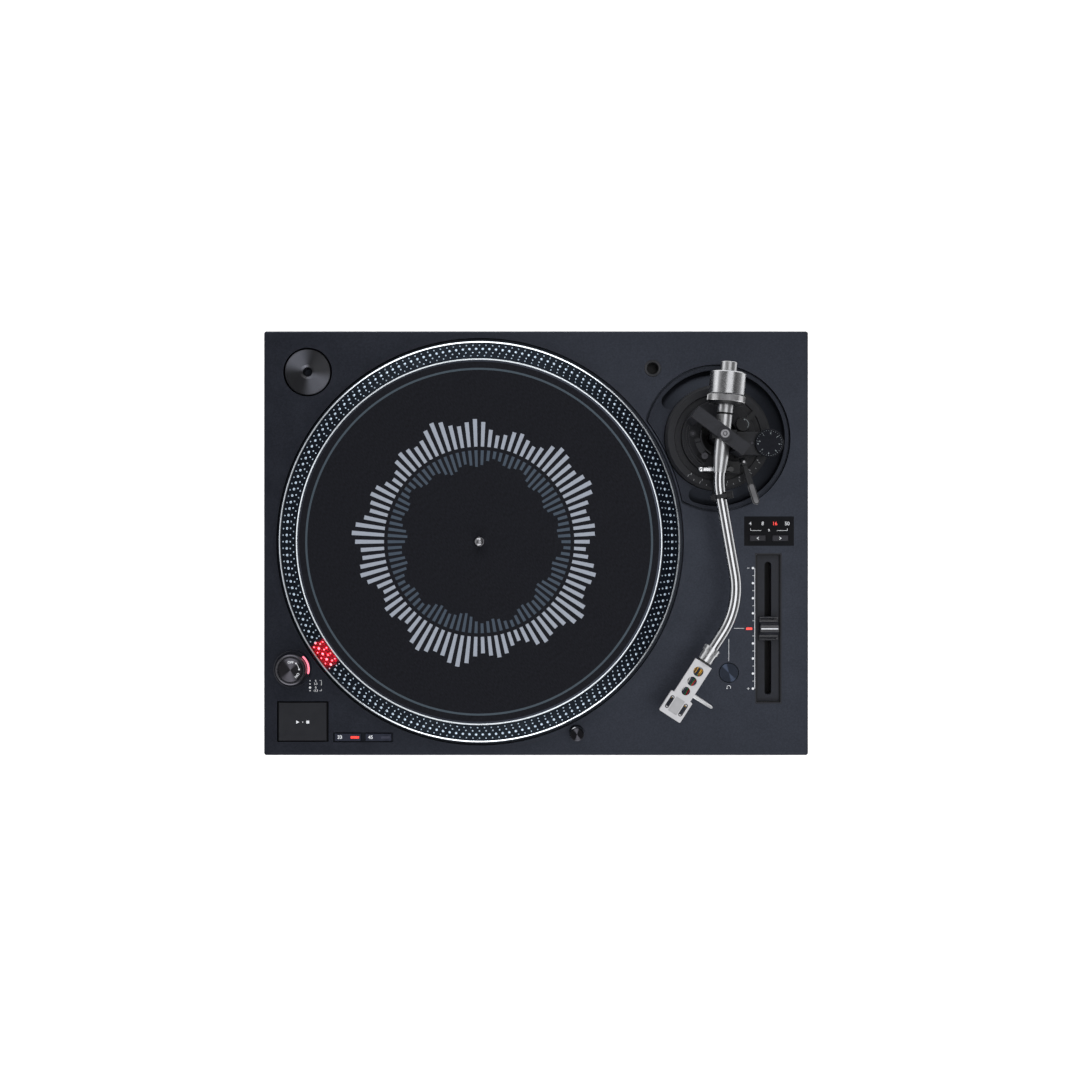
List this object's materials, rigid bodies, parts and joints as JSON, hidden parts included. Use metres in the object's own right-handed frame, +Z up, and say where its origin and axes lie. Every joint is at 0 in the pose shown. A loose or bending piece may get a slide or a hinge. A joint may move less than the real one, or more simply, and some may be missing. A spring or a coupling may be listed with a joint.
{
  "type": "dj turntable",
  "caption": "Direct-drive record deck for mixing: platter with a slipmat on a flat plinth, S-shaped tonearm on a height-adjustable base, pitch fader, start and speed buttons.",
  "frame": {"origin": "centre of the footprint, on the surface the feet stand on", "axes": "+X to the right as the user faces the deck, along its longest side; +Y to the back; +Z up"},
  "size_m": [0.453, 0.353, 0.1444],
  "materials": {
    "deck_casting": "dark grey satin paint with a fine texture over an aluminium casting",
    "base_rubber": "black matt moulding",
    "foot_rubber": "black rubber",
    "steel_screw": "blackened steel",
    "board": "green circuit board with its parts",
    "coil_copper": "enamelled copper",
    "bearing_steel": "turned steel",
    "terminal_metal": "gold-plated jacks on a black plate",
    "black_plastic": "black matt plastic",
    "gloss_black": "glossy black",
    "button_plastic": "dark satin plastic",
    "reset_plastic": "dark navy",
    "platter_metal": "dark machined aluminium with pale dots and bright turned lines",
    "damping_rubber": "damping rubber",
    "magnet_ferrite": "ferrite ring",
    "spindle_steel": "polished steel",
    "felt": "black felt with a pale print",
    "adaptor_metal": "black anodised, turned",
    "knob_metal": "black anodised, knurled",
    "red_lens": "lit red window",
    "holder_metal": "dark metal ring",
    "arm_base_metal": "dark satin metal",
    "silver_metal": "silver satin metal",
    "arm_metal": "silver satin arm",
    "weight_metal": "silver satin steel",
    "dial_plastic": "black dial",
    "shell_metal": "pale grey headshell",
    "lead_metal": "gold pins and coloured leads"
  },
  "bodies": {
    "deck": {"top_chassis": "deck_casting", "bottom_case": "base_rubber", "case_screws": "steel_screw", "main_circuit_board": "board", "power_supply_board": "board", "switch_boards": "board", "motor_stator": "coil_copper", "bearing_housing": "bearing_steel", "output_terminals": "terminal_metal", "ac_inlet": "black_plastic", "hinge_holders": "black_plastic", "headshell_holder": "holder_metal", "strobe_housing": "black_plastic", "strobe_window": "red_lens", "range_panel": "gloss_black", "fader_tray": "black_plastic", "fader_unit": "black_plastic", "arm_base_plate": "arm_base_metal"},
    "platter": {"platter": "platter_metal", "platter_damping": "damping_rubber", "rotor_magnet": "magnet_ferrite", "spindle_shaft": "spindle_steel"},
    "mat": {"slipmat": "felt"},
    "adaptor": {"adaptor_45": "adaptor_metal"},
    "power_knob": {"power_knob": "knob_metal"},
    "start_button": {"start_stop_button": "button_plastic"},
    "button_33": {"speed_button_33": "button_plastic"},
    "button_45": {"speed_button_45": "button_plastic"},
    "reset_button": {"reset_button": "reset_plastic"},
    "range_down": {"range_down_button": "gloss_black"},
    "range_up": {"range_up_button": "gloss_black"},
    "light": {"target_light": "gloss_black"},
    "pitch_slider": {"pitch_knob": "black_plastic"},
    "height_ring": {"height_ring": "arm_base_metal"},
    "arm_stage": {"arm_base": "arm_base_metal", "gimbal_bridge": "arm_base_metal", "bridge_screw": "silver_metal", "arm_rest": "black_plastic", "lifter_housing": "black_plastic", "antiskate_housing": "black_plastic"},
    "height_lock": {"lock_lever": "arm_base_metal"},
    "antiskate": {"antiskate_dial": "knob_metal"},
    "cue": {"cue_lever": "arm_base_metal"},
    "lift": {"lift_bar": "silver_metal"},
    "clamp": {"arm_clamp": "black_plastic"},
    "gimbal": {"gimbal_yoke": "arm_base_metal"},
    "tonearm": {"arm_housing": "arm_metal", "arm_tube": "arm_metal", "balance_shaft": "arm_metal"},
    "bush": {"counterweight_bush": "black_plastic"},
    "weight": {"counterweight": "weight_metal"},
    "dial": {"force_dial": "dial_plastic"},
    "collar": {"locking_collar": "arm_metal"},
    "shell": {"headshell": "shell_metal", "finger_lift": "shell_metal", "shell_leads": "lead_metal"},
    "foot_fl": {"foot_front_left": "foot_rubber"},
    "foot_fr": {"foot_front_right": "foot_rubber"},
    "foot_rl": {"foot_rear_left": "foot_rubber"},
    "foot_rr": {"foot_rear_right": "foot_rubber"}
  },
  "joints": [
    {"name": "platter_spin", "type": "hinge", "parent": "deck", "child": "platter", "pos_m": [-0.04661, 0.0013, 0.103], "axis": [0, 0, 1], "continuous": true},
    {"name": "mat_slip", "type": "hinge", "parent": "platter", "child": "mat", "pos_m": [-0.04661, 0.0013, 0.103], "axis": [0, 0, 1], "continuous": true},
    {"name": "adaptor_lift", "type": "slide", "parent": "deck", "child": "adaptor", "axis": [0, 0, 1], "range_m": [0, 0.03]},
    {"name": "power_turn", "type": "hinge", "parent": "deck", "child": "power_knob", "pos_m": [-0.20185, -0.1042, 0.095], "axis": [0, 0, -1], "range_deg": [0, 60]},
    {"name": "start_press", "type": "slide", "parent": "deck", "child": "start_button", "axis": [0, 0, -1], "range_m": [0, 0.0012], "stiffness_N_per_m": 1500, "springref_m": -0.0005},
    {"name": "press_33", "type": "slide", "parent": "deck", "child": "button_33", "axis": [0, 0, -1], "range_m": [0, 0.0008], "stiffness_N_per_m": 1000, "springref_m": -0.0003},
    {"name": "press_45", "type": "slide", "parent": "deck", "child": "button_45", "axis": [0, 0, -1], "range_m": [0, 0.0008], "stiffness_N_per_m": 1000, "springref_m": -0.0003},
    {"name": "reset_press", "type": "slide", "parent": "deck", "child": "reset_button", "axis": [0, 0, -1], "range_m": [0, 0.001], "stiffness_N_per_m": 1000, "springref_m": -0.0003},
    {"name": "range_down_press", "type": "slide", "parent": "deck", "child": "range_down", "axis": [0, 0, -1], "range_m": [0, 0.0006], "stiffness_N_per_m": 1000, "springref_m": -0.0003},
    {"name": "range_up_press", "type": "slide", "parent": "deck", "child": "range_up", "axis": [0, 0, -1], "range_m": [0, 0.0006], "stiffness_N_per_m": 1000, "springref_m": -0.0003},
    {"name": "light_push", "type": "slide", "parent": "deck", "child": "light", "axis": [0, 0, 1], "range_m": [-0.016, 0]},
    {"name": "pitch_slide", "type": "slide", "parent": "deck", "child": "pitch_slider", "axis": [0, 1, 0], "range_m": [-0.05, 0.05]},
    {"name": "height_ring_turn", "type": "hinge", "parent": "deck", "child": "height_ring", "pos_m": [0.15041, 0.08737, 0.099], "axis": [0, 0, 1], "range_deg": [0, 180]},
    {"name": "arm_height", "type": "slide", "parent": "deck", "child": "arm_stage", "axis": [0, 0, 1], "range_m": [0, 0.006]},
    {"name": "height_lock_turn", "type": "hinge", "parent": "arm_stage", "child": "height_lock", "pos_m": [0.16991, 0.09748, 0.099], "axis": [0, 0, 1], "range_deg": [0, 60]},
    {"name": "antiskate_turn", "type": "hinge", "parent": "arm_stage", "child": "antiskate", "pos_m": [0.18991, 0.08157, 0.111], "axis": [0, 0, -1], "range_deg": [0, 300]},
    {"name": "cue_lever_turn", "type": "hinge", "parent": "arm_stage", "child": "cue", "pos_m": [0.16931, 0.06638, 0.111], "axis": [-0.9516, -0.3074, 0], "range_deg": [0, 65]},
    {"name": "lift_rise", "type": "slide", "parent": "arm_stage", "child": "lift", "axis": [0, 0, 1], "range_m": [0, 0.003]},
    {"name": "clamp_open", "type": "hinge", "parent": "arm_stage", "child": "clamp", "pos_m": [0.15466, 0.03885, 0.13917], "axis": [-0.1736, 0.9848, 0], "range_deg": [0, 110]},
    {"name": "arm_swing", "type": "hinge", "parent": "arm_stage", "child": "gimbal", "pos_m": [0.15041, 0.08737, 0.129], "axis": [0, 0, -1], "range_deg": [0, 46]},
    {"name": "arm_lift", "type": "hinge", "parent": "gimbal", "child": "tonearm", "pos_m": [0.15041, 0.08737, 0.129], "axis": [-0.996, 0.0889, 0], "range_deg": [0, 5]},
    {"name": "weight_travel", "type": "slide", "parent": "tonearm", "child": "bush", "axis": [0.0889, 0.996, 0], "range_m": [-0.0015, 0.008]},
    {"name": "weight_turn", "type": "hinge", "parent": "bush", "child": "weight", "pos_m": [0.15324, 0.11905, 0.129], "axis": [0.0889, 0.996, 0], "range_deg": [-180, 960]},
    {"name": "dial_turn", "type": "hinge", "parent": "weight", "child": "dial", "pos_m": [0.15256, 0.11148, 0.129], "axis": [0.0889, 0.996, 0], "continuous": true},
    {"name": "collar_turn", "type": "hinge", "parent": "tonearm", "child": "collar", "pos_m": [0.14242, -0.08414, 0.129], "axis": [-0.5417, -0.8406, 0], "range_deg": [0, 90]},
    {"name": "shell_pull", "type": "slide", "parent": "tonearm", "child": "shell", "axis": [-0.5417, -0.8406, 0], "range_m": [0, 0.012]},
    {"name": "foot_front_left_screw", "type": "slide", "parent": "deck", "child": "foot_fl", "axis": [0, 0, -1], "range_m": [0, 0.006]},
    {"name": "foot_front_right_screw", "type": "slide", "parent": "deck", "child": "foot_fr", "axis": [0, 0, -1], "range_m": [0, 0.006]},
    {"name": "foot_rear_left_screw", "type": "slide", "parent": "deck", "child": "foot_rl", "axis": [0, 0, -1], "range_m": [0, 0.006]},
    {"name": "foot_rear_right_screw", "type": "slide", "parent": "deck", "child": "foot_rr", "axis": [0, 0, -1], "range_m": [0, 0.006]}
  ],
  "couplings": [
    {"joint": "arm_height", "follows": "height_ring_turn", "m_per_rad": 0.0019099},
    {"joint": "lift_rise", "follows": "cue_lever_turn", "m_per_rad": 0.0026444},
    {"joint": "weight_travel", "follows": "weight_turn", "m_per_rad": 0.00047746}
  ]
}
